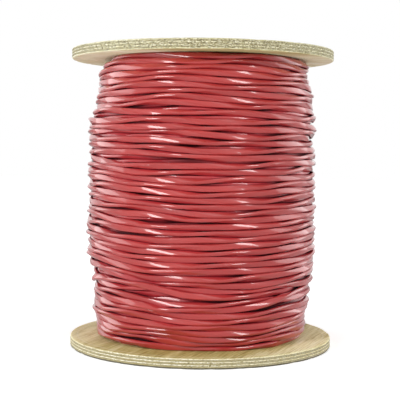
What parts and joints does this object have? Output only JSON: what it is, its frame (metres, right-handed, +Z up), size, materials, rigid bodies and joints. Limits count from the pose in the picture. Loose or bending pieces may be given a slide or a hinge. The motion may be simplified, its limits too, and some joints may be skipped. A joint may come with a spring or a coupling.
{
  "type": "wire spool",
  "caption": "Upright wire spool: plywood flanges bolted through a fibre drum and wound full of glossy red jacketed cable.",
  "frame": {"origin": "on the spool's axis, at the underside of the lower flange that it stands on", "axes": "+Z up along the spool's axis, +Y towards the side where the cable's last end is stapled"},
  "size_m": [0.2666, 0.2666, 0.3],
  "materials": {
    "plywood": "bare sanded softwood plywood, with a sawn edge that shows its plies",
    "fibreboard": "spiral-wound kraft fibreboard, matt",
    "zinc": "bright zinc plating",
    "staple_steel": "bright drawn wire",
    "red_jacket": "glossy extruded PVC that follows the twisted pair inside it",
    "red_insulation": "glossy extruded PVC",
    "black_insulation": "glossy extruded PVC",
    "copper": "bare sheared copper"
  },
  "bodies": {
    "root": {"bottom_flange": "plywood", "top_flange": "plywood", "drum_tube": "fibreboard", "tie_bolt_1": "zinc", "tie_bolt_2": "zinc", "tie_bolt_3": "zinc", "tie_bolt_4": "zinc", "bolt_washers": "zinc", "tee_nuts": "zinc", "inner_turns": "red_jacket", "outer_turns": "red_jacket", "start_jacket": "red_jacket", "start_wire_red": "red_insulation", "start_wire_black": "black_insulation", "start_copper": "copper", "finish_jacket": "red_jacket", "finish_wire_red": "red_insulation", "finish_wire_black": "black_insulation", "finish_copper": "copper", "finish_staple": "staple_steel"}
  },
  "joints": []
}
